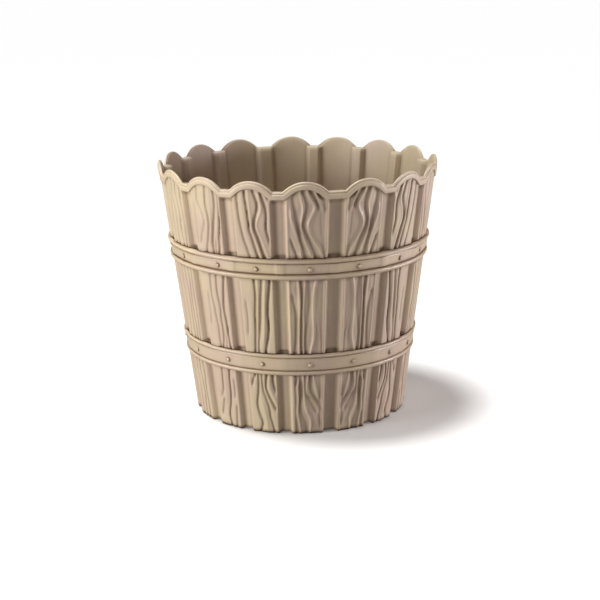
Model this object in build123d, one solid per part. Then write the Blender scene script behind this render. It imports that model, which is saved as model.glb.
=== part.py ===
from build123d import *
import os
from math import atan2, degrees, hypot, radians, sin

# A tapered plastic flower pot in the form of a barrel, in millimetres.
# The origin is the centre of its foot. +Z is up and -Y is the front.
# An angle is counted from the front towards +X.

# Overall size
rim_radius = 120.0
base_radius = 92.4
pot_height = 219.8
scallop_rise = 8.4

# Staves: four equal quarters, each with four staves and a wider seam recess at its start
quarters = 4
staves_per_quarter = 4
seam_angle = 15.4
seam_spread = 6.6
stave_wall = 2.4

# Recesses between the staves, outside, and the ribs that they make inside
recess_depth = 4.4
recess_splay = 2.7
recess_width_rim = 7.8
recess_width_foot = 6.8
seam_recess_extra = 2.4
recess_foot_gap = 1.2
rib_face_wall = 2.8
rib_flank_wall = 1.9

# Scalloped rim: a plain lip above a raised bead
low_flat_width = 7.4
lip_height = 1.4
bead_height = 4.8
bead_proud = 1.0

# Floor and its drain holes
floor_underside = 5.0
floor_thickness = 3.0
drain_count = 8
drain_radius = 4.5
drain_circle_radius = 52.0

# Hoops, each snapped into a shallow seat in the stave faces
seat_depth = 0.8
hoop_clearance = 0.1
seat_headroom = 0.2
hoop_edge_proud = 0.2
web_proud = 0.4

upper_hoop_bottom = 137.5
upper_hoop_height = 18.2
upper_low_bead = 4.9
upper_top_bead = 4.1
upper_bead_proud = 2.0
upper_crease_proud = 1.4

lower_hoop_bottom = 53.7
lower_hoop_height = 18.9
lower_low_bead = 4.0
lower_top_bead = 3.2
lower_bead_proud = 1.1
lower_crease_proud = 0.8

# Studs that pin the hoops to the staves, at these angles from the front seam or the back seam.
# The grip is the length of shank inside the stave's wall.
stud_angles = (10.7, 33.6, 52.0, 75.7)
stud_head_radius = 1.6
stud_head_height = 1.0
stud_shank_radius = 1.0
stud_grip = 1.0
stud_hole_clearance = 0.05
stud_hole_end_gap = 0.1
stud_lift = 0.02

# Length by which a cutting solid runs past the surface that it cuts
overrun = 3.0

# Worked out from the sizes above
quarter_angle = 360 / quarters
spread_angle = degrees(seam_spread / rim_radius)
pitch_angle = (quarter_angle - spread_angle) / staves_per_quarter
low_height = pot_height - scallop_rise
half_chord = rim_radius * sin(radians(pitch_angle / 2)) - low_flat_width / 2
scallop_radius = (half_chord**2 + scallop_rise**2) / (2 * scallop_rise)
recess_top = low_height - lip_height - bead_height
slope = (rim_radius - base_radius) / pot_height
stud_shank_length = web_proud + seat_depth + stud_grip


def face_radius(z):
    """Radius of the stave faces at a height."""
    return base_radius + slope * z


def seam_angles():
    return [seam_angle + quarter_angle * q for q in range(quarters)]


def stave_angles():
    first = spread_angle / 2 + pitch_angle / 2
    steps = range(staves_per_quarter)
    return [seam + first + pitch_angle * i for seam in seam_angles() for i in steps]


def narrow_recess_angles():
    steps = range(1, staves_per_quarter)
    return [seam + spread_angle / 2 + pitch_angle * i for seam in seam_angles() for i in steps]


def recesses():
    """Each recess as its angle and the extra width of its panel."""
    narrow = [(angle, 0.0) for angle in narrow_recess_angles()]
    wide = [(angle, seam_recess_extra) for angle in seam_angles()]
    return narrow + wide


def all_stud_angles():
    """Studs lie as mirror images on the two sides of the front seam and of the back seam."""
    angles = []
    for seam in (seam_angle, seam_angle + 180):
        for step in stud_angles:
            angles.append(seam + step)
            angles.append(seam - step)
    return angles


def turned(angle):
    """Turns a shape made along +X so that it lies at an angle counted from the front."""
    return Rot(0, 0, angle - 90)


def cone_slice(offset, z_low, z_high):
    """Solid inside the stave faces' cone, moved out by offset, between two heights."""
    low = face_radius(z_low) + offset
    high = face_radius(z_high) + offset
    cone = Cone(low, high, z_high - z_low, align=(Align.CENTER, Align.CENTER, Align.MIN))
    return Pos(0, 0, z_low) * cone


def trapezium(z, inner_offset, outer_offset, inner_half, outer_half):
    """Face at height z, narrow towards the axis and wide outwards."""
    near = face_radius(z) + inner_offset
    far = face_radius(z) + outer_offset
    outline = Polyline(
        (near, -inner_half), (far, -outer_half), (far, outer_half), (near, inner_half), close=True
    )
    return Pos(0, 0, z) * make_face(outline)


def recess_half_width(z, extra):
    """Half the width of a recess's flat back panel."""
    share = z / recess_top
    return (recess_width_foot + (recess_width_rim - recess_width_foot) * share + extra) / 2


def recess_cut(angle, extra):
    """Channel between two staves, open outwards and at the foot."""
    widen = recess_splay / recess_depth
    faces = []
    for z in (-overrun, recess_top):
        back = recess_half_width(z, extra)
        front = back + widen * (recess_depth + overrun)
        faces.append(trapezium(z, -recess_depth, overrun, back, front))
    return turned(angle) * loft(faces, ruled=True)


def rib(angle, extra):
    """Inside of a recess: its back panel and flanks with their walls."""
    widen = recess_splay / recess_depth
    flank_shift = rib_flank_wall * hypot(recess_depth, recess_splay) / recess_depth
    faces = []
    for z in (-overrun, pot_height + overrun):
        back = recess_half_width(z, extra)
        narrow = back - widen * rib_face_wall + flank_shift
        wide = back + widen * (recess_depth + overrun) + flank_shift
        faces.append(trapezium(z, -recess_depth - rib_face_wall, overrun, narrow, wide))
    return turned(angle) * loft(faces, ruled=True)


def rim_profile(drop):
    """Everything below the scalloped rim line, lowered and drawn in by drop."""
    reach = rim_radius + 2 * overrun
    level = low_height - drop
    slab = Pos(0, 0, -overrun) * Cylinder(
        reach, level + overrun, align=(Align.CENTER, Align.CENTER, Align.MIN)
    )
    round_top = Cylinder(scallop_radius - drop, reach, align=(Align.CENTER, Align.CENTER, Align.MIN))
    tops = []
    for angle in stave_angles():
        laid = turned(angle) * Pos(0, 0, pot_height - scallop_radius) * Rot(0, 90, 0)
        tops.append(laid * round_top)
    return slab.fuse(*tops)


def make_inside(ribs, z_low, z_high):
    """Hollow of the shell between two heights, with the ribs left standing."""
    return cone_slice(-stave_wall, z_low, z_high).cut(*ribs)


def ring_band(inner_offset, outer_offset, z_low, z_high):
    """Ring that follows the stave faces' cone between two offsets and two heights."""
    outline = Polyline(
        (face_radius(z_low) + inner_offset, 0, z_low),
        (face_radius(z_low) + outer_offset, 0, z_low),
        (face_radius(z_high) + outer_offset, 0, z_high),
        (face_radius(z_high) + inner_offset, 0, z_high),
        close=True,
    )
    return revolve(make_face(outline), Axis.Z)


def foot_gap_cut(angle, extra):
    """Low gap under a recess's back panel, where drained water leaves."""
    width = 2 * recess_half_width(0, extra)
    depth = rib_face_wall + 2 * overrun
    block = Box(depth, width, 2 * recess_foot_gap)
    centre = base_radius - recess_depth - rib_face_wall / 2
    return turned(angle) * Pos(centre, 0, 0) * block


def stud_place(angle, bottom, height):
    """Place on the web, with Z along the stud's axis, outwards and square to the stave."""
    middle = bottom + height / 2
    tilt = degrees(atan2(slope, 1))
    return turned(angle) * Pos(face_radius(middle) + web_proud, 0, middle) * Rot(0, 90 + tilt, 0)


def stud_holes(bottom, height):
    """Blind holes through the web and part of the way into the staves."""
    radius = stud_shank_radius + stud_hole_clearance
    depth = stud_shank_length + stud_hole_end_gap
    pin = Cylinder(radius, depth + overrun, align=(Align.CENTER, Align.CENTER, Align.MIN))
    hole = Pos(0, 0, -depth) * pin
    return [stud_place(angle, bottom, height) * hole for angle in all_stud_angles()]


def make_pot_body():
    body = cone_slice(0, 0, pot_height) & rim_profile(0)
    bead_low = low_height - lip_height - bead_height - overrun
    bead = cone_slice(bead_proud, bead_low, pot_height) & rim_profile(lip_height)
    bead = bead - rim_profile(lip_height + bead_height)
    body = body + bead
    ribs = [rib(angle, extra) for angle, extra in recesses()]
    floor_top = floor_underside + floor_thickness
    cuts = [recess_cut(angle, extra) for angle, extra in recesses()]
    cuts.append(make_inside(ribs, floor_top, pot_height + overrun))
    cuts.append(make_inside(ribs, -overrun, floor_underside))
    cuts += [foot_gap_cut(angle, extra) for angle, extra in recesses()]
    for bottom, height in (
        (upper_hoop_bottom, upper_hoop_height),
        (lower_hoop_bottom, lower_hoop_height),
    ):
        cuts.append(ring_band(-seat_depth, overrun, bottom, bottom + height + seat_headroom))
        cuts += stud_holes(bottom, height)
    drain = Cylinder(drain_radius, floor_thickness + 2 * overrun)
    drain_level = floor_underside + floor_thickness / 2
    for i in range(drain_count):
        place = Rot(0, 0, 360 * i / drain_count) * Pos(drain_circle_radius, 0, drain_level)
        cuts.append(place * drain)
    return body.cut(*cuts)


def make_hoop(bottom, height, low_bead, top_bead, proud, crease):
    top = bottom + height
    web_low = bottom + low_bead
    web_high = top - top_bead
    low_middle = bottom + low_bead / 2
    top_middle = top - top_bead / 2
    foot = (face_radius(bottom) + hoop_edge_proud, 0, bottom)
    low_crest = (face_radius(low_middle) + proud, 0, low_middle)
    web_foot = (face_radius(web_low) + web_proud, 0, web_low)
    web_head = (face_radius(web_high) + web_proud, 0, web_high)
    top_crest = (face_radius(top_middle) + proud, 0, top_middle)
    head = (face_radius(top) + hoop_edge_proud, 0, top)
    outline = [
        Line((0, 0, bottom), foot),
        ThreePointArc(foot, low_crest, web_foot),
        Line(web_foot, web_head),
        ThreePointArc(web_head, top_crest, head),
        Line(head, (0, 0, top)),
        Line((0, 0, top), (0, 0, bottom)),
    ]
    disc = revolve(make_face(outline), Axis.Z)
    disc = disc + creased_disc(low_middle, top_middle, crease)
    bore = cone_slice(hoop_clearance - seat_depth, bottom - overrun, top + overrun)
    return disc.cut(bore, *stud_holes(bottom, height))


def creased_disc(z_low, z_high, crease):
    """Many-sided disc whose corners raise a crease on the web over each recess."""
    faces = []
    for z in (z_low, z_high):
        radius = face_radius(z) + crease
        corners = [
            (turned(angle) * Pos(radius, 0, 0)).position
            for angle, _ in sorted(recesses())
        ]
        faces.append(Pos(0, 0, z) * make_face(Polyline(*corners, close=True)))
    return loft(faces, ruled=True)


def make_stud():
    """Stud along Z: a shallow dome over a plain shank, its head's underside at zero."""
    round_height = stud_head_radius**2 / stud_head_height + stud_head_height
    dome_radius = round_height / 2
    ball = Pos(0, 0, stud_head_height - dome_radius) * Sphere(dome_radius)
    above = Cylinder(
        2 * stud_head_radius, 2 * dome_radius, align=(Align.CENTER, Align.CENTER, Align.MIN)
    )
    shank = Cylinder(
        stud_shank_radius, stud_shank_length, align=(Align.CENTER, Align.CENTER, Align.MAX)
    )
    return Pos(0, 0, stud_lift) * ((ball & above) + shank)


def make_studs(bottom, height):
    stud = make_stud()
    places = [stud_place(angle, bottom, height) for angle in all_stud_angles()]
    return Compound([(place * stud).solid() for place in places])


def save(shape, name):
    export_step(shape, os.path.join("parts", name + ".step"))


def main():
    os.makedirs("parts", exist_ok=True)
    upper_hoop = make_hoop(
        upper_hoop_bottom,
        upper_hoop_height,
        upper_low_bead,
        upper_top_bead,
        upper_bead_proud,
        upper_crease_proud,
    )
    lower_hoop = make_hoop(
        lower_hoop_bottom,
        lower_hoop_height,
        lower_low_bead,
        lower_top_bead,
        lower_bead_proud,
        lower_crease_proud,
    )
    save(make_pot_body(), "pot_body")
    save(upper_hoop, "upper_hoop")
    save(lower_hoop, "lower_hoop")
    save(make_studs(upper_hoop_bottom, upper_hoop_height), "upper_hoop_studs")
    save(make_studs(lower_hoop_bottom, lower_hoop_height), "lower_hoop_studs")


main()
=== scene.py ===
import bpy
import bmesh
import numpy as np
from math import atan, cos, degrees, pi, radians, sin, tan
from mathutils import Matrix, Vector


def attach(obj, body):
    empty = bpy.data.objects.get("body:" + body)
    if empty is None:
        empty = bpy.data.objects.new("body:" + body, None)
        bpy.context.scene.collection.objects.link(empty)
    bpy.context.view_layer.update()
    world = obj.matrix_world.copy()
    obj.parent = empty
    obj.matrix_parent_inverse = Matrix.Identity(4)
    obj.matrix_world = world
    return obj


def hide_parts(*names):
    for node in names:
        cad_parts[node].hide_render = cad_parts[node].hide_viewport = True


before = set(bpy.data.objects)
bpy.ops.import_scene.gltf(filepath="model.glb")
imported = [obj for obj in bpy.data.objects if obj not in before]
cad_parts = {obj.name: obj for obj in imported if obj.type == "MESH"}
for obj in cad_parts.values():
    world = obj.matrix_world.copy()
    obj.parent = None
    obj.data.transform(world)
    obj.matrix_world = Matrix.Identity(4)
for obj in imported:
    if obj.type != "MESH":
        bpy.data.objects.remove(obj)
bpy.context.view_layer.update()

# Sizes in millimetres, the CAD model's where it has them. Where a hoop's or stud's differ, they are
# set by the light and dark that the photograph shows, and stay within 1 mm of the CAD's.
MM = 0.001
RIM_RADIUS = 120.0
BASE_RADIUS = 92.4
POT_HEIGHT = 219.8
SCALLOP_RISE = 8.4
QUARTERS = 4
STAVES = 4
SEAM_ANGLE = 15.4
SEAM_SPREAD = 6.6
WALL = 2.4
RECESS_DEPTH = 4.4
RECESS_SPLAY = 2.7
RECESS_TOP = 205.2
RECESS_WIDTH_RIM = 7.8
RECESS_WIDTH_FOOT = 6.8
SEAM_EXTRA = 2.4
FOOT_GAP = 1.2
FOOT_RAMP = 10.0
RIB_WALL = 2.8
RIB_SHIFT = 0.51
RIM_DROP = 6.3
FLOOR_LOW = 5.0
FLOOR_TOP = 8.0
DRAIN_RADIUS = 4.5
DRAIN_CIRCLE = 52.0
DRAIN_COUNT = 8
SEAT_DEPTH = 0.8
# A hoop's beads along its low and top edges, how proud they stand, how much of a flat facet's
# corner shows over a recess, and the low ridge there
UPPER_HOOP = dict(bottom=137.5, height=18.2, low=4.9, top=4.1, bead=2.25, facet=0.3, ridge=0.4)
LOWER_HOOP = dict(bottom=53.7, height=18.9, low=4.0, top=3.2, bead=1.4, facet=0.1, ridge=0.12)
WEB_PROUD = 0.25
STUD_ANGLES = (10.7, 33.6, 52.0, 75.7)
STUD_RADIUS = 1.85
STUD_HEIGHT = 1.6
ROUND_SEGMENTS = 28

SLOPE = (RIM_RADIUS - BASE_RADIUS) / POT_HEIGHT
LOW_HEIGHT = POT_HEIGHT - SCALLOP_RISE
SPREAD_ANGLE = degrees(SEAM_SPREAD / RIM_RADIUS)
PITCH_ANGLE = (360 / QUARTERS - SPREAD_ANGLE) / STAVES
INNER_FALL = RECESS_DEPTH + RIB_WALL - WALL
INNER_SPLAY = RECESS_SPLAY / RECESS_DEPTH * INNER_FALL

# Each scallop is an arc that ends in a straight line on either side.
ARC_RADIUS = 24.6
ARC_END = radians(40)
ARC_CENTRE = POT_HEIGHT - ARC_RADIUS

# Wood grain of the four kinds of stave, counted from the seam outwards.
# Each line is (strength, points), where a point is (height, distance from the stave's middle
# towards the seam), a strength above zero raises a ridge and one below zero cuts a groove.
GRAIN = {
    0: [
        (0.8, (200, -12), (190, -11.3), (184, -9.6), (178, -7.8), (172, -6), (165, -4.3),
         (157, -3.6)),
        (-1, (212, -10.6), (200, -9.3), (192, -8), (185, -6.7), (179, -5.8), (172, -4.7),
         (165, -2.5), (158, -0.5)),
        (1, (212, -4.8), (205, -3), (200, -1.9), (195, -2), (190, -3), (185, -3.7), (180, -3.2),
         (175, -1.8), (170, 0.2), (164, 2.8), (157, 5.2)),
        (-1, (212, -2.6), (206, -0.4), (200, 0.9), (195, 0.4), (190, -1), (185, -1.9), (180, -1.1),
         (175, 1), (170, 3), (164, 5), (157, 7.4)),
        (1, (212, 1.4), (208, 3.2), (204, 5.6), (199, 7.4), (195, 6.5), (190, 4.2), (186, 2.5),
         (183, 2.1), (179, 2.8), (174, 5.2), (168, 9), (162, 12), (157, 13.4)),
        (-1, (212, 3.8), (208, 6), (204, 8.2), (200, 9.7), (195, 10)),
        (0.9, (212, 7.2), (207, 9.6), (202, 11.6), (197, 13.4), (192, 15.4)),
        (-1.1, (212, 10), (207, 13), (203, 15.6)),
        (-1, (175, -13), (170, -11.5), (165, -9.8), (160, -8), (157, -7.3)),
        (-0.3, (197, 12.4), (185, 12.6), (172, 13.4)),
        (-1, (127, -11.6), (121, -10.7), (116, -9.6), (111, -8.5), (106, -8), (98, -7.9),
         (88, -8.2), (80, -8.6), (73, -9.4)),
        (0.8, (137, -6.3), (125, -5.4), (115, -5.2), (105, -5.6), (95, -5.9), (85, -6), (73, -6)),
        (-0.6, (137, -3.9), (128, -3.4), (120, -3.2), (112, -3.4), (104, -3.7), (96, -3.9),
         (88, -4.1), (80, -4), (73, -3.6)),
        (0.8, (137, -0.8), (130, -1.2), (122, -1.8), (114, -2.3), (106, -2.4), (98, -2),
         (90, -2.1), (80, -2.4), (73, -2.4)),
        (-0.9, (137, 2.3), (125, 3), (115, 2.9), (108, 2), (100, 0.6), (92, -0.7), (84, -1),
         (73, 0)),
        (1, (137, 8.5), (130, 7), (124, 6.2), (116, 5.9), (108, 5.9), (100, 6.1), (92, 6.4),
         (86, 6.1), (80, 5), (76, 3.9), (73, 3.1)),
        (0.4, (112, 7.6), (104, 8.4), (98, 9.2), (90, 10.8), (82, 11.4), (73, 11.4)),
        (0.4, (54, -10.8), (40, -10.6), (20, -9.9), (0, -9.8)),
        (-0.6, (54, -9), (47, -8.9), (42, -9)),
        (0.9, (51, -5.4), (47, -7), (42, -7.4), (36, -7.1), (30, -6.9), (24, -7.3), (18, -7.4),
         (12, -6.3), (6, -5.4), (0, -5)),
        (-1, (54, -5), (44, -4.3), (38, -4.2), (32, -4.9), (26, -5.7), (20, -4.9), (15, -2.8),
         (10, -0.5), (5, 0.3), (0, 0.3)),
        (0.9, (54, -2.9), (44, -2.6), (36, -2.2), (30, -1.7), (25, -0.8), (20, 0.9), (15, 2.9),
         (10, 3.7), (5, 3.2), (0, 2.9)),
        (0.8, (54, 1.2), (44, 0.5), (39, 0.8), (35, 2.6), (31, 5.2), (27, 7.8), (23, 10),
         (18, 11.4)),
        (-1, (37, 0.4), (33, 1.8), (29, 3.8), (25, 5.8), (21, 7.4), (17, 8.8)),
        (-1.1, (54, 3.9), (45, 3.4), (40, 4.2), (36, 5.6), (32, 7.6), (29, 9.6), (26, 10.8)),
        (0.8, (54, 5.6), (47, 6.5), (42, 7.8), (37, 8.7), (33, 9.6), (29, 11)),
        (0.4, (17, 7.6), (10, 9.4), (5, 10.6), (0, 11)),
    ],
    1: [
        (-0.8, (206, -12.2), (195, -11.6), (185, -10.6), (178, -9.4), (172, -8.2), (166, -6.4),
         (161, -4.9), (157, -3.9)),
        (-1, (212, -5.4), (205, -5), (198, -4.2), (190, -3.6), (184, -3.1), (179, -2.9),
         (174, -1.3), (168, 0.2), (162, 1.8), (157, 3)),
        (-1.1, (212, 2), (207, 3.6), (202, 5), (198, 5), (193, 3.8), (188, 2.1), (183, 1.4),
         (179, 2), (174, 3.8), (169, 5.2), (164, 6.6), (160, 7.8), (157, 8.7)),
        (-1, (212, 7.4), (208, 9), (204, 10.4), (198, 11.9), (190, 12.2), (184, 11.5), (180, 11.5),
         (174, 12.8), (168, 14.2), (163, 15.2)),
        (-0.9, (209, 13.6), (205, 15), (201, 16)),
        (0.4, (206, 7.4), (199, 8.6), (194, 7.6), (189, 5.2), (184, 3.8), (180, 4.2), (174, 6.6),
         (168, 8.6), (162, 10.6), (157, 12)),
        (0.4, (212, -2), (200, -1.4), (188, -0.8), (180, -0.4), (172, 2), (164, 4.4), (157, 6)),
        (-0.5, (121, -10.2), (114, -9.9), (107, -9.3), (100, -9.2), (92, -9.6), (86, -9.6)),
        (-0.9, (137, -1.9), (128, -1.4), (120, -1.6), (113, -2.2), (107, -2.7), (100, -2.9),
         (92, -3.2), (84, -3.8), (78, -4.2), (73, -4.6)),
        (-0.8, (137, 4.8), (128, 3.9), (120, 3), (112, 2.4), (104, 1.9), (96, 1), (88, 0),
         (80, -1), (73, -1.2)),
        (-1.1, (137, 11.6), (130, 10.8), (124, 10), (116, 9), (108, 8.4), (100, 8.5), (92, 8.2),
         (86, 7.2), (80, 5.9), (76, 4.9), (73, 4.7)),
        (0.4, (137, 8), (124, 6.8), (112, 5.8), (100, 5.2), (90, 4.4), (80, 3)),
        (0.3, (137, 1.4), (120, 0.6), (104, -0.6), (90, -1.6)),
        (-0.9, (54, -6.3), (51, -6.9), (49, -8.2), (46, -9.2), (40, -9)),
        (-0.9, (54, -3.7), (44, -3.9), (38, -4.3), (32, -5.3), (27, -6), (20, -5.2), (15, -3.9),
         (11, -2.6), (7, -2.3), (3, -3.6), (0, -4.6)),
        (-0.8, (54, -0.6), (44, -0.4), (38, 0.2), (33, 1.8), (28, 3.2), (22, 4.6), (16, 5),
         (10, 6.3), (5, 7.3), (0, 8)),
        (-1.1, (54, 4), (46, 2.7), (42, 2.5), (38, 3.4), (34, 4.9), (30, 6.5), (26, 8.4),
         (22, 10.2), (18, 12)),
        (-1, (54, 9.2), (45, 9.4), (41, 10.3), (37, 11.7), (33, 13)),
        (0.4, (54, 6.6), (44, 5.8), (38, 7.2), (32, 9.4), (27, 11.2)),
        (0.3, (30, -1.6), (20, 0.4), (10, 2), (0, 2.6)),
    ],
    2: [
        (-0.6, (207, -8.2), (198, -8.5), (192, -6.4), (186, -4), (181, -3.1), (176, -4.6),
         (171, -7), (166, -8.6), (160, -10.5)),
        (-0.8, (212, 1.8), (203, 0.9), (196, 0.6), (190, 1.5), (184, 2.1), (178, 1.5), (172, 0.4),
         (166, -1), (160, -2.9), (157, -3.4)),
        (-0.9, (212, 10.2), (204, 10.5), (196, 10.1), (189, 8.8), (182, 7.2), (175, 6), (168, 4.6),
         (160, 4.1), (157, 4.3)),
        (-1, (207, 15), (197, 14.6), (189, 14.1), (182, 13.5), (175, 12.3), (168, 11.1),
         (160, 10.5), (157, 9.7)),
        (-0.6, (171, 8.7), (164, 7.6), (157, 6.9)),
        (0.35, (212, 6), (200, 5.6), (190, 5.2), (180, 4.4), (170, 2.6), (160, 0.6)),
        (-0.4, (200, -12.6), (180, -12.4), (160, -13)),
        (-0.5, (124, -8.3), (112, -8.4), (100, -8.2), (90, -9.2)),
        (-0.7, (137, -3.8), (125, -4.3), (116, -4.2), (110, -3), (104, -2.4), (98, -1.8),
         (90, -0.8), (82, -0.8), (73, -0.4)),
        (-0.8, (137, 2.9), (125, 2.2), (116, 2.8), (108, 3.8), (100, 3.4), (92, 3.8), (84, 4),
         (73, 2)),
        (-1, (137, 11.2), (127, 9.6), (119, 8.6), (112, 7.8), (106, 7.6), (100, 8.4), (92, 8.9),
         (84, 9), (78, 9.6), (73, 10.2)),
        (-0.5, (86, 7.6), (73, 6.2)),
        (-0.8, (54, -3.2), (44, -3.6), (38, -3.9), (33, -4.4), (28, -6.4), (24, -7.8)),
        (-0.8, (28, -3.8), (22, -5), (18, -6.2), (14, -7.4), (7, -8)),
        (-1, (54, 5.1), (45, 4.4), (38, 4.2), (31, 4), (26, 3.4), (21, 2.6), (16, 1.2), (10, 0.4),
         (5, 1), (0, 1.6)),
        (-0.6, (48, 9), (38, 9.2), (30, 8.8), (25, 8.4)),
        (-0.7, (24, 9.4), (16, 8.8), (10, 8.2), (4, 7.6), (0, 7)),
        (0.35, (54, 0.6), (40, 0.2), (28, -0.6), (18, -2)),
    ],
    3: [
        (-0.7, (208, -9), (196, -8), (184, -8.6), (170, -9.8), (157, -8)),
        (-0.8, (212, -2.2), (200, -3.4), (188, -2.2), (178, -1.4), (166, -2.4), (157, -2)),
        (-0.9, (212, 4.6), (202, 3.6), (192, 5), (182, 6.2), (172, 5), (157, 6.6)),
        (-0.8, (208, 11.4), (196, 11), (184, 12.2), (172, 12.6), (157, 11.6)),
        (-0.7, (137, -7), (120, -8), (104, -7), (88, -6.4), (73, -8)),
        (-0.8, (137, -1), (122, -0.2), (108, 1), (94, 0.4), (73, 0.6)),
        (-0.8, (137, 5.4), (124, 6), (110, 5), (96, 4.8), (84, 5.6), (73, 5)),
        (-0.7, (137, 11.2), (118, 10.2), (100, 10.6), (73, 9.4)),
        (-0.7, (54, -5.6), (42, -6.2), (30, -5), (16, -5.8), (0, -5)),
        (-0.8, (54, 0.8), (44, 0), (32, 1.6), (22, 2.2), (10, 0.8), (0, 1.2)),
        (-0.8, (54, 6.4), (40, 7.2), (28, 6), (14, 6.8), (0, 6.2)),
    ],
}
# Broad swells of the same staves, as (height, half width, points)
SWELLS = {
    0: [
        (0.8, 4.6, (212, -16.5), (200, -15), (190, -13.6), (180, -12), (172, -11.2), (165, -10),
         (157, -8.5)),
        (0.55, 3.2, (54, -12), (40, -12), (20, -12.5), (0, -12)),
        (0.5, 3.0, (20, 7.5), (10, 7.5), (0, 7)),
        (0.45, 3.2, (137, -11), (120, -12.5), (100, -12), (73, -12)),
    ],
}
# Heights that carry grain: below, between and above the hoops
GRAIN_ZONES = ((-1.0, 54.5), (72.0, 138.0), (155.0, 225.0))
# A line that stops short of its zone's end by more than END_MARGIN fades out over GRAIN_FADE.
# A line that reaches TOP_REACH runs on under the rim's bead.
END_MARGIN = 3
TOP_REACH = 206.5
GRAIN_FADE = 5.0
SWELL_FADE = 6.0
RIDGE_HEIGHT = 1.45
RIDGE_HALF = 1.1
RIDGE_POWER = 1.8
# A groove is a narrow cut in a wider dip, each as (share of the depth, half width).
GROOVE_DEPTH = 1.3
GROOVE_CUT = (0.85, 0.75)
GROOVE_DIP = (0.35, 2.0)
# Level of each kind's plain wood, and the lowest level of all, which is approached softly
GROUND = {0: -1.25, 1: -0.1, 2: -0.05, 3: -0.05}
RELIEF_FLOOR = -1.9
FLOOR_SHARPNESS = 6
# The grain starts this far inside a stave's edge.
EDGE_MARGIN = 2.2

# How the outside ends: a recess runs out under the bead, the foot is rounded, and each recess has a
# deeper pocket behind a hoop, which rises above it and shows as a dark slot.
RECESS_RUNOUT = 1.8
FOOT_ROUND = 1.2
FOOT_INSET = 0.9
POCKET_RISE = 2.6
POCKET_DEPTH = 1.8

# Columns across half a recess, from its middle to the stave, and across half a rib inside,
# as (share of the panel's half width, distance past its edge, depth share)
RECESS_STEPS = (
    (0.0, 0.0, 1.0),
    (0.5, 0.0, 1.0),
    (1.0, -0.45, 1.0),
    (1.0, 0.05, 0.95),
    (1.0, 0.45, 0.83),
    (1.0, 1.35, 0.5),
    (1.0, 2.15, 0.2),
    (1.0, 2.6, 0.09),
    (1.0, 3.1, 0.025),
    (1.0, 3.8, 0.0),
)
RIB_STEPS = (
    (0.0, 0.0, 1.0),
    (0.5, 0.0, 1.0),
    (1.0, -0.5, 1.0),
    (1.0, -0.08, 0.96),
    (1.0, 0.25, 0.86),
    (1.0, INNER_SPLAY * 0.5, 0.5),
    (1.0, INNER_SPLAY * 0.85, 0.16),
    (1.0, INNER_SPLAY, 0.05),
    (1.0, INNER_SPLAY + 0.35, 0.01),
    (1.0, INNER_SPLAY + 0.9, 0.0),
)
FACE_COLUMNS = 44
# Near the rim this column moves to where the scallop meets the low flat. The move starts
# MITRE_START below the rim's edge and is complete MITRE_BLEND nearer to it. For this move alone, the
# scalloped rings below the bead start MITRE_REACH further down.
MITRE_STEP = 7
MITRE_START = RIM_DROP + 1
MITRE_BLEND = 3
MITRE_REACH = 12

# Heights of the outside's rings up to the upper hoop's seat, and above it their shares of the way
# to the bead's foot. NO_RIM is a height that stands for a rim out of reach.
NO_RIM = 300.0
FOOT_LEVELS = (0.0, 0.25, 0.6, 1.2)
LOW_LEVELS = np.linspace(2.4, 53.7, 31)
LOWER_SEAT = (53.75, 72.7)
MIDDLE_LEVELS = np.concatenate([(72.8, 73.8, 74.7), np.linspace(75.6, 137.5, 35)])
UPPER_SEAT = (137.55, 155.8)
SCALLOP_START = 155.9
SCALLOP_SHARES = np.concatenate(
    [(0.0, 0.02, 0.041), np.linspace(0.06, 0.9, 28), (0.925, 0.945, 0.96, 0.972, 0.984, 1.0)]
)
# Bead and lip, as (drop from the rim's edge, distance off the staves' cone)
RIM_PROFILE = (
    (6.22, 0.4), (6.08, 0.8), (5.85, 1.0), (5.4, 1.06), (4.1, 1.1), (2.8, 1.06), (2.5, 0.98),
    (2.32, 0.75), (2.2, 0.58), (2.05, 0.4), (1.85, 0.28), (1.6, 0.22), (1.4, 0.22), (1.2, 0.25),
    (1.0, 0.24), (0.8, 0.18), (0.5, -0.05), (0.22, -0.38), (0.03, -0.85), (0.0, -1.4),
)
# Over the lip, as (share of the way from its crest to the inside wall, drop from the rim's edge)
LIP_CREST = 0.8
LIP_DROP = 0.9
LIP_STEPS = ((0.35, 0.0), (0.6425, 0.12), (0.87, 0.4), (1.0, LIP_DROP))
# Inside, as shares of the way up from the floor's corner, then the corner's curve as
# (height, distance inward)
INNER_FOOT = 10.0
INNER_SHARES = np.concatenate([(0.985, 0.95, 0.88), np.linspace(0.75, 0.06, 9), (0.02, 0.0)])
FLOOR_CORNER = ((9.1, 0.25), (8.35, 0.8), (FLOOR_TOP, 1.7))
# Inner side of the skirt below the floor, down to the foot, where its edge is eased by SKIRT_ROUND
SKIRT_LEVELS = (FLOOR_LOW, 3.0, 0.4, 0.0)
SKIRT_ROUND = 0.3
# A drain hole from top to bottom, as (height, how much wider than the bore)
DRAIN_ROWS = (
    (FLOOR_TOP, 0.5), (FLOOR_TOP - 0.35, 0.1), (FLOOR_TOP - 0.8, 0.0),
    (FLOOR_LOW + 0.5, 0.0), (FLOOR_LOW, 0.4),
)

# Hoops: columns to a stave, the rounded edge's height, steps of a bead and of the web
HOOP_COLUMNS = 44
HOOP_BACK = -0.7
HOOP_EDGE = 0.15
BEAD_STEPS = 12
BEAD_ROUNDNESS = 0.62
WEB_STEPS = 10
WEB_CROWN = 0.06
# The low ridge over each recess starts this far from its middle, and is whole this much nearer.
RIDGE_START = 4.4
RIDGE_BLEND = 1.6
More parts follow.
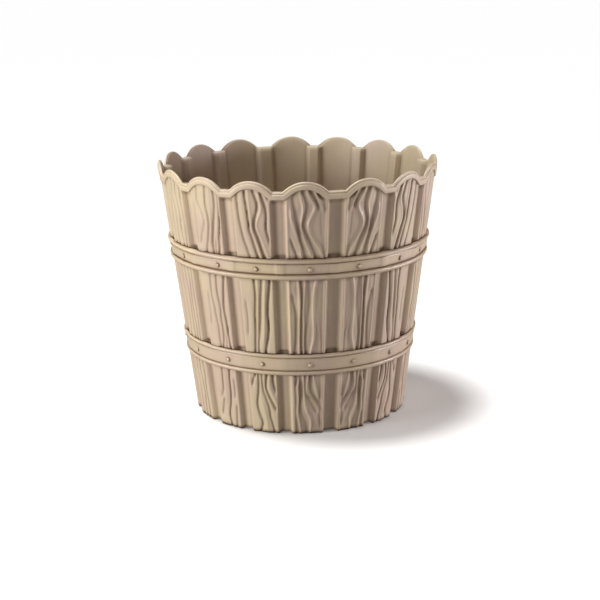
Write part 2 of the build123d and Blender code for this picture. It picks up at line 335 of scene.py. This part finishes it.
# A stud's outline from its heel, sunk in the hoop, to the foot of its dome, as (radius, height)
STUD_HEEL = -1.6
STUD_DOME = 0.14
STUD_FOOT = (
    (1.0, STUD_HEEL), (1.0, -0.5), (STUD_RADIUS + 0.35, -0.22), (STUD_RADIUS + 0.2, 0.0),
    (STUD_RADIUS, STUD_DOME),
)
STUD_LIFT = 0.05


def smooth(x):
    x = np.clip(x, 0, 1)
    return x * x * (3 - 2 * x)


def face_radius(z):
    return BASE_RADIUS + SLOPE * z


def inner_radius(z, depth):
    """Radius of the inside, with depth 1 on a rib and 0 behind a stave."""
    return face_radius(z) - WALL - INNER_FALL * depth


def staves():
    """Each stave: its middle in degrees, a seam to its left, one to its right, kind, mirrored."""
    for quarter in range(QUARTERS):
        seam = SEAM_ANGLE + 360 / QUARTERS * quarter
        mirrored = quarter % 2 == 0
        for i in range(STAVES):
            centre = seam + SPREAD_ANGLE / 2 + PITCH_ANGLE * (i + 0.5)
            kind = i if mirrored else STAVES - 1 - i
            yield centre, i == 0, i == STAVES - 1, kind, mirrored


def columns():
    """Every column round the pot, as (side, step, share of the face) and its stave's facts.

    Each stave's columns run from the recess on its left to the one on its right. The side is -1
    or 1 for a column beside a recess, which has a step, and 0 for one on the face, with a share.
    """
    last = len(RECESS_STEPS) - 1
    for stave in staves():
        for step in range(last + 1):
            yield (-1, step, 0.0, *stave)
        for n in range(1, FACE_COLUMNS):
            yield (0, -1, n / FACE_COLUMNS, *stave)
        for step in range(last, 0, -1):
            yield (1, step, 0.0, *stave)


SIDES, STEPS, SHARES, CENTRES, LEFT_SEAM, RIGHT_SEAM, KINDS, MIRRORED = map(
    np.array, zip(*columns())
)
STAVE_CENTRES = np.array([radians(stave[0]) for stave in staves()])


def curve_through(points):
    """Returns a function of height that gives the line's place and its lean."""
    points = sorted(points)
    z = np.array([p[0] for p in points], float)
    s = np.array([p[1] for p in points], float)
    lean = np.gradient(s, z)

    def at(height):
        h = np.clip(height, z[0], z[-1])
        i = np.clip(np.searchsorted(z, h) - 1, 0, len(z) - 2)
        gap = z[i + 1] - z[i]
        t = (h - z[i]) / gap
        a = (2 * t**3 - 3 * t**2 + 1) * s[i] + (3 * t**2 - 2 * t**3) * s[i + 1]
        b = (t**3 - 2 * t**2 + t) * gap * lean[i] + (t**3 - t**2) * gap * lean[i + 1]
        return a + b, lean[i] * (1 - t) + lean[i + 1] * t

    return at


def grain_height(kind, across, z):
    """Height of the wood grain's relief at points of a stave face."""
    out = np.zeros_like(z)
    for strength, *points in GRAIN[kind]:
        low, high = min(p[0] for p in points), max(p[0] for p in points)
        zone = next(zn for zn in GRAIN_ZONES if zn[0] <= (low + high) / 2 <= zn[1])
        place, lean = curve_through(points)(z)
        d = (across - place) / np.sqrt(1 + lean**2)
        share = np.ones_like(z)
        if low > zone[0] + END_MARGIN:
            share = share * smooth((z - low) / GRAIN_FADE)
        if high < min(zone[1], TOP_REACH) - END_MARGIN:
            share = share * smooth((high - z) / GRAIN_FADE)
        share = share * ((z > zone[0]) & (z < zone[1]))
        if strength > 0:
            crest = np.exp(-np.abs(d / RIDGE_HALF) ** RIDGE_POWER)
            out += RIDGE_HEIGHT * strength * share * crest
        else:
            cut = sum(part * np.exp(-((d / half) ** 2)) for part, half in (GROOVE_CUT, GROOVE_DIP))
            out += GROOVE_DEPTH * strength * share * cut
    for strength, width, *points in SWELLS.get(kind, ()):
        place, _ = curve_through(points)(z)
        low, high = min(p[0] for p in points), max(p[0] for p in points)
        from_low, from_high = z - low + SWELL_FADE / 2, high + SWELL_FADE / 2 - z
        share = smooth(from_low / SWELL_FADE) * smooth(from_high / SWELL_FADE)
        out += strength * share * np.exp(-(((across - place) / width) ** 4))
    return out


def rim_line(s, drop):
    """Height of the scalloped rim, drawn in by drop, at a distance from a stave's middle."""
    s = np.abs(s)
    r = ARC_RADIUS - drop
    end = r * sin(ARC_END)
    arc = ARC_CENTRE + np.sqrt(np.clip(r * r - np.minimum(s, end) ** 2, 0, None))
    line = arc - np.maximum(s - end, 0) * tan(ARC_END)
    return np.maximum(line, LOW_HEIGHT - drop)


def mitre_place(drop):
    """Distance from a stave's middle at which the scallop meets the low flat."""
    r = ARC_RADIUS - drop
    fall = ARC_CENTRE + r * cos(ARC_END) - (LOW_HEIGHT - drop)
    return r * sin(ARC_END) + fall / tan(ARC_END)


def panel_half(z, extra):
    """Half the width of a recess's panel."""
    share = np.clip(z / RECESS_TOP, 0, 1)
    return (RECESS_WIDTH_FOOT + (RECESS_WIDTH_RIM - RECESS_WIDTH_FOOT) * share + extra) / 2


def sector_half(z, seam_side):
    """Distance along the face from a stave's middle to the middle of the recess beside it."""
    return np.radians((PITCH_ANGLE + SPREAD_ANGLE * seam_side) / 2) * face_radius(z)


def from_middle(z, seam, share, past, drop):
    """Distance from a stave's middle to a column beside the recess."""
    half = sector_half(z, seam)
    panel = panel_half(z, SEAM_EXTRA * seam)
    value = half - (share * panel + past)
    if drop is None:
        return value
    mitre = half - panel - RECESS_STEPS[MITRE_STEP][1]
    moved = mitre + (mitre_place(drop) - mitre) * smooth((MITRE_START - drop) / MITRE_BLEND)
    inward = value * moved / mitre
    outward = half - (half - value) * (half - moved) / (half - mitre)
    return np.where(value <= mitre, inward, outward)


def spread_columns(z, steps, drop=None, shift=0.0):
    """Distance from the stave's middle and depth share of each column at heights z.

    A drop below the rim's edge moves the columns to follow the scallops, and a shift widens a rib.
    """
    table = np.array(steps)
    share, past, depth = table[STEPS, 0], table[STEPS, 1] + shift * table[STEPS, 0], table[STEPS, 2]
    depth = np.where(SIDES == 0, 0.0, depth)
    left = from_middle(z, LEFT_SEAM, share, past, drop)
    right = from_middle(z, RIGHT_SEAM, share, past, drop)
    last_share, last_past, _ = steps[-1]
    low = from_middle(z, LEFT_SEAM, last_share, last_past + shift, drop)
    high = from_middle(z, RIGHT_SEAM, last_share, last_past + shift, drop)
    face = -low + (low + high) * SHARES
    return np.where(SIDES < 0, -left, np.where(SIDES > 0, right, face)), depth


def outer_place(z, drop=None):
    return spread_columns(z, RECESS_STEPS, drop)


def inner_place(z):
    return spread_columns(z, RIB_STEPS, shift=RIB_SHIFT)


def ring_points(angle, radius, z):
    """Points of one ring in metres. Angle 0 is at the front, -Y, and the ring turns towards +X."""
    return np.stack([radius * np.sin(angle), -radius * np.cos(angle), z], 1) * MM


def ring_strip(count, low, high):
    """Quads that join two rings of a mesh, given by their numbers."""
    a = np.arange(count)
    b = np.roll(a, -1)
    return np.stack([a + low * count, b + low * count, b + high * count, a + high * count], 1)


def face_offset(place, depth, z, top=NO_RIM):
    """How far the outside stands off the staves' cone, below a bead whose foot is at top."""
    offset = -RECESS_DEPTH * depth * smooth((top - 0.1 - z) / RECESS_RUNOUT)
    seam = np.where(place < 0, LEFT_SEAM, RIGHT_SEAM)
    edge = sector_half(z, seam) - panel_half(z, SEAM_EXTRA * seam) - RECESS_SPLAY
    mask = smooth((edge - np.abs(place)) / EDGE_MARGIN) * smooth(top - z)
    across = np.where(MIRRORED, -place, place)
    relief = np.zeros_like(z)
    for kind in GRAIN:
        pick = KINDS == kind
        relief[pick] = GROUND[kind] + grain_height(kind, across[pick], z[pick])
    above_floor = FLOOR_SHARPNESS * (relief - RELIEF_FLOOR)
    offset = offset + mask * (RELIEF_FLOOR + np.log1p(np.exp(above_floor)) / FLOOR_SHARPNESS)
    for hoop in (UPPER_HOOP, LOWER_HOOP):
        # The pocket starts behind the hoop, ends sharply and takes only the recess's panel.
        above = hoop["bottom"] + hoop["height"] + POCKET_RISE - z
        pocket = smooth(above / 0.9) * smooth((z - hoop["bottom"] - 2) / 2)
        offset = offset - POCKET_DEPTH * pocket * smooth((depth - 0.6) / 0.35)
    foot = np.clip((FOOT_ROUND - z) / FOOT_ROUND, 0, 1)
    return offset - FOOT_INSET * foot**2 * (1 - depth)


def make_pot_mesh():
    """Points and quads of the pot without its floor, a ring's points and the first skirt ring."""
    rings = []
    count = len(SIDES)
    flat = np.ones(count)

    def add(place, radius, z):
        rings.append(ring_points(np.radians(CENTRES) + place / face_radius(z), radius, z))

    def body_ring(level, seat=False):
        z = flat * level
        place, depth = outer_place(z)
        lift = FOOT_GAP * depth
        z = np.where(z < FOOT_RAMP, lift + z * (FOOT_RAMP - lift) / FOOT_RAMP, z)
        offset = face_offset(place, depth, z)
        if seat:
            offset = np.minimum(offset, -SEAT_DEPTH)
        add(place, face_radius(z) + offset, z)

    def scalloped_ring(share):
        place, depth = outer_place(flat * share)
        for _ in range(2):
            top = rim_line(place, RIM_DROP)
            z = SCALLOP_START + (top - SCALLOP_START) * share
            place, depth = outer_place(z, RIM_DROP + MITRE_REACH * (1 - share) ** 0.5)
        add(place, face_radius(z) + face_offset(place, depth, z, top), z)

    for level in (*FOOT_LEVELS, *LOW_LEVELS):
        body_ring(level)
    for level in LOWER_SEAT:
        body_ring(level, seat=True)
    for level in MIDDLE_LEVELS:
        body_ring(level)
    for level in UPPER_SEAT:
        body_ring(level, seat=True)
    for share in SCALLOP_SHARES:
        scalloped_ring(share)

    for drop, offset in RIM_PROFILE:
        place, _ = outer_place(flat * (LOW_HEIGHT - drop), drop)
        for _ in range(2):
            z = rim_line(place, drop)
            place, _ = outer_place(z, drop)
        z = rim_line(place, drop)
        add(place, face_radius(z) + offset, z)
    edge_place, edge_z = place, z

    for share, drop in LIP_STEPS:
        z = edge_z - drop
        place, depth = inner_place(z)
        crest = face_radius(z) - LIP_CREST
        radius = crest + (inner_radius(z, depth) - crest) * share
        add(edge_place + (place - edge_place) * share, radius, z)
    for share in INNER_SHARES:
        z = INNER_FOOT + (edge_z - LIP_DROP - INNER_FOOT) * share
        place, depth = inner_place(z)
        add(place, inner_radius(z, depth), z)
    for level, inset in FLOOR_CORNER:
        z = flat * level
        place, depth = inner_place(z)
        add(place, inner_radius(z, depth) - inset, z)
    inside = len(rings)

    for level in SKIRT_LEVELS:
        z = flat * level
        place, depth = inner_place(z)
        z = np.maximum(z, FOOT_GAP * np.clip(depth * 1.3, 0, 1))
        add(place, inner_radius(z, depth) + (SKIRT_ROUND if level == 0 else 0), z)

    # The floor closes the gap between the last inside ring and the first one of the skirt.
    last = len(rings) - 1
    faces = [ring_strip(count, n, n + 1) for n in range(last) if n != inside - 1]
    faces.append(ring_strip(count, last, 0))
    return np.concatenate(rings), np.concatenate(faces), count, inside


def mesh_from(name, points, faces):
    mesh = bpy.data.meshes.new(name)
    mesh.vertices.add(len(points))
    mesh.vertices.foreach_set("co", np.asarray(points, np.float32).ravel())
    mesh.loops.add(faces.size)
    mesh.polygons.add(len(faces))
    starts = np.arange(0, faces.size, faces.shape[1], dtype=np.int32)
    mesh.polygons.foreach_set("loop_start", starts)
    mesh.polygons.foreach_set("loop_total", np.full(len(faces), faces.shape[1], np.int32))
    mesh.loops.foreach_set("vertex_index", faces.astype(np.int32).ravel())
    mesh.update(calc_edges=True)
    mesh.validate()
    return mesh


def add_object(name, mesh, material, smooth_angle=50):
    """Adds a piece. A smooth_angle of None keeps the mesh's own sharp edges."""
    piece = bpy.data.objects.new(name, mesh)
    bpy.context.scene.collection.objects.link(piece)
    mesh.materials.append(material)
    if smooth_angle is not None:
        mesh.shade_smooth()
        mesh.set_sharp_from_angle(angle=radians(smooth_angle))
    return piece


def circle(bm, radius, height, place, turn=Matrix.Identity(3)):
    """New vertices on a circle round the turned Z axis, at a height above its place."""
    steps = [2 * pi * k / ROUND_SEGMENTS for k in range(ROUND_SEGMENTS)]
    points = [Vector((radius * cos(t), radius * sin(t), height)) for t in steps]
    return [bm.verts.new((place + turn @ point) * MM) for point in points]


def tube(bm, rings):
    """Quads between each ring of vertices and the next."""
    for ring, other in zip(rings, rings[1:]):
        for k in range(ROUND_SEGMENTS):
            n = (k + 1) % ROUND_SEGMENTS
            bm.faces.new((ring[k], other[k], other[n], ring[n]))


def loop_edges(bm, start, count):
    """Edges of the ring that starts at a vertex's number, made where they are missing."""
    bm.verts.ensure_lookup_table()
    out = []
    for i in range(count):
        a = bm.verts[start + i]
        b = bm.verts[start + (i + 1) % count]
        out.append(bm.edges.get((a, b)) or bm.edges.new((a, b)))
    return out


def make_pot(material):
    """One closed solid: the rings, then the floor with its drain holes."""
    points, faces, count, inside = make_pot_mesh()
    mesh = mesh_from("pot_shell", points, faces)
    bm = bmesh.new()
    bm.from_mesh(mesh)
    top_edges = loop_edges(bm, (inside - 1) * count, count)
    low_edges = loop_edges(bm, inside * count, count)
    for i in range(DRAIN_COUNT):
        turn = 2 * pi * i / DRAIN_COUNT
        middle = Vector((cos(turn), sin(turn), 0)) * DRAIN_CIRCLE
        loops = [circle(bm, DRAIN_RADIUS + widen, z, middle) for z, widen in DRAIN_ROWS]
        tube(bm, loops)
        for ring, edges in ((loops[0], top_edges), (loops[-1], low_edges)):
            for k in range(ROUND_SEGMENTS):
                edges.append(bm.edges.get((ring[k], ring[(k + 1) % ROUND_SEGMENTS])))
    for edges in (top_edges, low_edges):
        bmesh.ops.triangle_fill(bm, use_beauty=True, use_dissolve=False, edges=edges)
    bmesh.ops.recalc_face_normals(bm, faces=bm.faces)
    for face in bm.faces:
        face.smooth = True
    for edge in bm.edges:
        edge.smooth = edge.calc_face_angle(0) < radians(75)
    for edge in top_edges + low_edges:
        edge.smooth = False
    bm.to_mesh(mesh)
    bm.free()
    return add_object("pot_shell", mesh, material, None)


def hoop_columns():
    """Angles of a hoop's columns, each one's turn from its stave's middle, and the turn to the
    middle of the recess on that side."""
    rows = []
    for centre, left_seam, right_seam, _, _ in staves():
        left = PITCH_ANGLE / 2 + (SPREAD_ANGLE / 2 if left_seam else 0)
        right = PITCH_ANGLE / 2 + (SPREAD_ANGLE / 2 if right_seam else 0)
        for n in range(HOOP_COLUMNS):
            t = -1 + 2 * n / HOOP_COLUMNS
            half = left if t < 0 else right
            rows.append((radians(centre + t * half), radians(t * half), radians(half)))
    return np.array(rows).T


def facet_rise(turn, radius, facet):
    """Part of the rise from a round hoop to a facet that is flat across a stave."""
    return facet * radius * (1 / np.cos(turn) - 1)


def bead(low, high, proud, flip):
    """Steps of a bead, as (height, distance off the cone, share of the web's rise)."""
    steps = []
    for n in range(1, BEAD_STEPS):
        t = n / BEAD_STEPS
        near_web = 1 - t if flip else t
        base = WEB_PROUD * near_web
        swell = sin(pi * t) ** BEAD_ROUNDNESS
        offset = base + (proud - base) * swell
        steps.append((low + (high - low) * t, offset, near_web**2 * 0.5))
    return steps


def make_hoop(name, size, material):
    """A ring with a bead along each edge of its web and a dark line beside each bead."""
    bottom, top = size["bottom"], size["bottom"] + size["height"]
    middle = bottom + size["height"] / 2
    low, high = bottom + size["low"], top - size["top"]
    profile = [
        (bottom, HOOP_BACK, 0),
        (bottom, -0.1, 0),
        (bottom + HOOP_EDGE, 0.2, 0),
        *bead(bottom + HOOP_EDGE, low, size["bead"], False),
        (low + 0.1, WEB_PROUD - 0.36, 0.7),
        (low + 0.5, WEB_PROUD - 0.36, 0.9),
        (low + 0.9, WEB_PROUD - 0.02, 1),
    ]
    for n in range(1, WEB_STEPS):
        t = n / WEB_STEPS
        z = low + 0.9 + (high - low - 1.6) * t
        profile.append((z, WEB_PROUD + WEB_CROWN * sin(pi * t), 1))
    profile += [
        (high - 0.7, WEB_PROUD - 0.02, 1),
        (high - 0.35, WEB_PROUD - 0.3, 0.9),
        (high - 0.05, WEB_PROUD - 0.3, 0.8),
        *bead(high, top - HOOP_EDGE, size["bead"], True),
        (top - HOOP_EDGE, 0.2, 0),
        (top, -0.1, 0),
        (top, HOOP_BACK, 0),
        (middle, HOOP_BACK, 0),
    ]
    angles, turns, halves = hoop_columns()
    radius = face_radius(middle)
    to_recess = (halves - np.abs(turns)) * radius
    ridge = size["ridge"] * smooth((RIDGE_START - to_recess) / RIDGE_BLEND)
    rise = facet_rise(np.abs(turns), radius, size["facet"]) + ridge
    rings = []
    for z, offset, share in profile:
        radius = face_radius(z) + offset + rise * share
        rings.append(ring_points(angles, radius, np.full_like(angles, z)))
    faces = [ring_strip(len(angles), n, (n + 1) % len(rings)) for n in range(len(rings))]
    mesh = mesh_from(name, np.concatenate(rings), np.concatenate(faces))
    return add_object(name, mesh, material)


def all_stud_angles():
    for seam in (SEAM_ANGLE, SEAM_ANGLE + 180):
        for step in STUD_ANGLES:
            yield seam + step
            yield seam - step


def make_studs(name, size, material):
    """Domed studs with a small fillet round the foot, standing on the hoop's web."""
    profile = list(STUD_FOOT)
    for n in range(1, 9):
        t = n / 9 * pi / 2
        rise = (STUD_HEIGHT - STUD_DOME) * sin(t)
        profile.append((STUD_RADIUS * cos(t), STUD_DOME + rise))
    bm = bmesh.new()
    middle = size["bottom"] + size["height"] / 2
    lean = Matrix.Rotation(atan(SLOPE), 3, "X")
    for angle in map(radians, all_stud_angles()):
        turns = (angle - STAVE_CENTRES + pi) % (2 * pi) - pi
        turn = turns[np.abs(turns).argmin()]
        rise = facet_rise(turn, face_radius(middle), size["facet"])
        radius = face_radius(middle) + WEB_PROUD + STUD_LIFT + rise
        turned = Matrix.Rotation(angle, 3, "Z")
        place = turned @ Vector((0, -radius, middle))
        outward = turned @ lean @ Matrix.Rotation(radians(90), 3, "X")
        rings = [circle(bm, r, h, place, outward) for r, h in profile]
        tube(bm, rings)
        tip = bm.verts.new((place + outward @ Vector((0, 0, STUD_HEIGHT))) * MM)
        heel = bm.verts.new((place + outward @ Vector((0, 0, STUD_HEEL))) * MM)
        for k in range(ROUND_SEGMENTS):
            n = (k + 1) % ROUND_SEGMENTS
            bm.faces.new((rings[-1][k], rings[-1][n], tip))
            bm.faces.new((rings[0][n], rings[0][k], heel))
    bmesh.ops.recalc_face_normals(bm, faces=bm.faces)
    mesh = bpy.data.meshes.new(name)
    bm.to_mesh(mesh)
    bm.free()
    return add_object(name, mesh, material, 60)


# Materials. The node helpers take a node tree and return an output socket.
def noise(tree, vector, scale, detail):
    node = tree.nodes.new("ShaderNodeTexNoise")
    node.inputs["Scale"].default_value = scale
    node.inputs["Detail"].default_value = detail
    tree.links.new(vector, node.inputs["Vector"])
    return node.outputs["Fac"]


def map_range(tree, value, low, high):
    node = tree.nodes.new("ShaderNodeMapRange")
    node.inputs["To Min"].default_value = low
    node.inputs["To Max"].default_value = high
    tree.links.new(value, node.inputs["Value"])
    return node.outputs["Result"]


def colour_ramp(tree, value, stops):
    """A ramp with stops from low to high, as (place, colour)."""
    node = tree.nodes.new("ShaderNodeValToRGB")
    elements = node.color_ramp.elements
    first, *between, last = stops
    for element, (place, colour) in ((elements[0], first), (elements[1], last)):
        element.position = place
        element.color = (*colour, 1)
    for place, colour in between:
        elements.new(place).color = (*colour, 1)
    tree.links.new(value, node.inputs["Fac"])
    return node.outputs["Color"]


def by_camera_ray(tree, unseen, seen, socket):
    """Gives a socket one value where the camera looks and another for all other rays."""
    path = tree.nodes.new("ShaderNodeLightPath")
    tree.links.new(map_range(tree, path.outputs["Is Camera Ray"], unseen, seen), socket)


def new_material(name):
    """An empty node tree with a Principled shader, as (material, tree, shader)."""
    material = bpy.data.materials.new(name)
    material.use_nodes = True
    tree = material.node_tree
    tree.nodes.clear()
    out = tree.nodes.new("ShaderNodeOutputMaterial")
    shader = tree.nodes.new("ShaderNodeBsdfPrincipled")
    tree.links.new(shader.outputs["BSDF"], out.inputs["Surface"])
    return material, tree, shader


# Painted shade in grooves, corners and slots: how far its occlusion test looks in metres, and the
# darkening tints it paints into the base colour, by openness
PAINTED_SHADE_REACH = 0.0042
PAINTED_SHADE_TINTS = ((0.32, (0.04, 0.028, 0.02)), (0.65, (0.34, 0.26, 0.2)), (0.98, (1.0, 1.0, 1.0)))
DRIFT_STOPS = (0.35, 0.5, 0.65)
DRIFT_SCALE = 22
STREAK_SCALE = 520
STREAK_STRETCH = 0.06
STREAK_SHADES = (0.93, 1.06)
PEBBLE_SCALE = 900
PEBBLE_SHARE = 0.3
ROUGHNESS_SPREAD = 0.07
BUMP_STRENGTH = 0.35
BUMP_DISTANCE = 0.00022


def plastic(name, warm, tone, cool, roughness):
    """Satin moulded plastic: slow colour drift, fine vertical flow lines, a soft pebble, and painted
    shade that darkens its grooves and corners.
    """
    material, tree, shader = new_material(name)
    nodes, links = tree.nodes, tree.links
    where = nodes.new("ShaderNodeTexCoord").outputs["Object"]
    drift = noise(tree, where, DRIFT_SCALE, 2)
    colour = colour_ramp(tree, drift, tuple(zip(DRIFT_STOPS, (warm, tone, cool))))

    stretch = nodes.new("ShaderNodeMapping")
    stretch.inputs["Scale"].default_value = (1, 1, STREAK_STRETCH)
    links.new(where, stretch.inputs["Vector"])
    streak = noise(tree, stretch.outputs["Vector"], STREAK_SCALE, 3)
    tinted = nodes.new("ShaderNodeVectorMath")
    tinted.operation = "SCALE"
    links.new(colour, tinted.inputs[0])
    links.new(map_range(tree, streak, *STREAK_SHADES), tinted.inputs["Scale"])

    # Painted shade: an occlusion test darkens the base colour in grooves, corners and slots, where
    # shade falls.
    painted_shade_ao = nodes.new("ShaderNodeAmbientOcclusion")
    painted_shade_ao.samples = 8
    painted_shade_ao.inputs["Distance"].default_value = PAINTED_SHADE_REACH
    shaded = nodes.new("ShaderNodeMix")
    shaded.data_type = "RGBA"
    shaded.blend_type = "MULTIPLY"
    shaded.inputs["Factor"].default_value = 1.0
    links.new(tinted.outputs["Vector"], shaded.inputs["A"])
    links.new(colour_ramp(tree, painted_shade_ao.outputs["AO"], PAINTED_SHADE_TINTS), shaded.inputs["B"])
    links.new(shaded.outputs["Result"], shader.inputs["Base Color"])

    pebble = noise(tree, where, PEBBLE_SCALE, 2)
    low, high = roughness - ROUGHNESS_SPREAD, roughness + ROUGHNESS_SPREAD
    links.new(map_range(tree, pebble, low, high), shader.inputs["Roughness"])
    mixed = nodes.new("ShaderNodeMath")
    mixed.operation = "MULTIPLY_ADD"
    mixed.inputs[1].default_value = PEBBLE_SHARE
    links.new(pebble, mixed.inputs[0])
    links.new(streak, mixed.inputs[2])
    bump = nodes.new("ShaderNodeBump")
    bump.inputs["Strength"].default_value = BUMP_STRENGTH
    bump.inputs["Distance"].default_value = BUMP_DISTANCE
    links.new(mixed.outputs["Value"], bump.inputs["Height"])
    links.new(bump.outputs["Normal"], shader.inputs["Normal"])
    return material


def srgb(r, g, b):
    """An sRGB colour above the curve's short straight part, as linear values."""
    return tuple(((v / 255 + 0.055) / 1.055) ** 2.4 for v in (r, g, b))


pot_plastic = plastic(
    "pot_plastic", srgb(206, 190, 162), srgb(203, 185, 162), srgb(201, 180, 162), roughness=0.42
)
hoop_plastic = plastic(
    "hoop_plastic", srgb(207, 190, 160), srgb(204, 186, 161), srgb(202, 182, 162), roughness=0.4
)


pot = make_pot(pot_plastic)
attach(pot, "root")
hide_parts("pot_body")
for label, size in (("upper", UPPER_HOOP), ("lower", LOWER_HOOP)):
    hoop = make_hoop(label + "_ring", size, hoop_plastic)
    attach(hoop, "root")
    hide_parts(label + "_hoop")
    studs = make_studs(label + "_domes", size, hoop_plastic)
    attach(studs, "root")
    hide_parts(label + "_hoop_studs")

# Floor: white where lamps reach it, so that the pot's shadow shows, and dim to all other rays
FLOOR_HALF = 20.0
FLOOR_GAP = 0.0002
material, tree, shader = new_material("studio_floor")
shader.inputs["Roughness"].default_value = 0.9
shader.inputs["Specular IOR Level"].default_value = 0.0
shader.inputs["Emission Color"].default_value = (1, 1, 1, 1)
by_camera_ray(tree, 0.16, 0.9, shader.inputs["Base Color"])
by_camera_ray(tree, 0.0, 0.1, shader.inputs["Emission Strength"])
corners = np.array([(-1, -1, 0), (1, -1, 0), (1, 1, 0), (-1, 1, 0)]) * FLOOR_HALF
floor_mesh = mesh_from("studio_floor", corners, np.array([[0, 1, 2, 3]]))
floor_mesh.materials.append(material)
floor = bpy.data.objects.new("studio_floor", floor_mesh)
floor.location.z = -FLOOR_GAP
bpy.context.scene.collection.objects.link(floor)

# World: white to the camera, and a dim even fill for everything else
world = bpy.data.worlds.new("studio")
bpy.context.scene.world = world
world.use_nodes = True
tree = world.node_tree
tree.nodes.clear()
sky = tree.nodes.new("ShaderNodeOutputWorld")
back = tree.nodes.new("ShaderNodeBackground")
back.inputs["Color"].default_value = (1, 1, 1, 1)
by_camera_ray(tree, 0.06, 1.0, back.inputs["Strength"])
tree.links.new(back.outputs["Background"], sky.inputs["Surface"])

# Lamps: azimuths and elevations in degrees, distances and sizes in metres
LAMP_TARGET = Vector((0, 0, 0.12))


def add_lamp(name, kind, azimuth, elevation, distance, colour):
    data = bpy.data.lights.new(name, kind)
    data.color = colour
    lamp = bpy.data.objects.new(name, data)
    a, e = radians(azimuth), radians(elevation)
    away = Vector((sin(a) * cos(e), -cos(a) * cos(e), sin(e)))
    lamp.location = LAMP_TARGET + away * distance
    lamp.rotation_euler = away.to_track_quat("Z", "Y").to_euler()
    bpy.context.scene.collection.objects.link(lamp)
    return data


def add_panel(name, azimuth, elevation, distance, width, height, strength, colour):
    """A soft box; at a strength of 1 a white surface that faces it renders white."""
    data = add_lamp(name, "AREA", azimuth, elevation, distance, colour)
    data.shape = "RECTANGLE"
    data.size, data.size_y = width, height
    data.energy = strength * (pi * (distance - RIM_RADIUS * MM)) ** 2


add_panel(
    "key", azimuth=-64, elevation=6, distance=1.1, width=0.74, height=0.44,
    strength=1.26, colour=(1.0, 0.97, 0.91),
)
add_panel(
    "fill", azimuth=89, elevation=2, distance=1.1, width=0.6, height=0.34,
    strength=1.14, colour=(1.0, 0.935, 0.96),
)
add_panel(
    "front", azimuth=-2, elevation=8, distance=1.2, width=0.5, height=0.4,
    strength=0.17, colour=(1.0, 0.9, 0.9),
)
top = add_lamp("top", "SUN", azimuth=-100, elevation=78, distance=1.0, colour=(1.0, 1.0, 1.0))
top.angle = radians(15)
top.energy = 0.95 * pi

# Camera, fitted to the photograph's outlines: millimetres, radians, and a focal length in pixels
CAMERA_DISTANCE = 1293.09
CAMERA_RISE = 0.250631
CAMERA_FOCAL = 1463.54
CAMERA_PAN = -0.00038657
CAMERA_TILT = -0.0111844
CAMERA_ROLL = 0.0133538
AIM_HEIGHT = 107.0
IMAGE_SIDE = 600
SENSOR_WIDTH = 36


def make_camera():
    forward = Vector((0, cos(CAMERA_RISE), -sin(CAMERA_RISE)))
    right = Vector((1, 0, 0))
    up = right.cross(forward)
    pan = Matrix.Rotation(CAMERA_PAN, 3, up)
    forward, right = pan @ forward, pan @ right
    tilt = Matrix.Rotation(CAMERA_TILT, 3, right)
    forward, up = tilt @ forward, tilt @ up
    roll = Matrix.Rotation(CAMERA_ROLL, 3, forward)
    right, up = roll @ right, roll @ up
    data = bpy.data.cameras.new("camera")
    data.sensor_width = SENSOR_WIDTH
    data.lens = CAMERA_FOCAL / IMAGE_SIDE * SENSOR_WIDTH
    camera = bpy.data.objects.new("camera", data)
    turn = Matrix((right, up, -forward)).transposed()
    back, rise = CAMERA_DISTANCE * cos(CAMERA_RISE), CAMERA_DISTANCE * sin(CAMERA_RISE)
    place = Vector((0, -back, rise + AIM_HEIGHT)) * MM
    camera.matrix_world = Matrix.Translation(place) @ turn.to_4x4()
    bpy.context.scene.collection.objects.link(camera)
    bpy.context.scene.camera = camera


make_camera()
bpy.context.scene.view_settings.view_transform = "Standard"
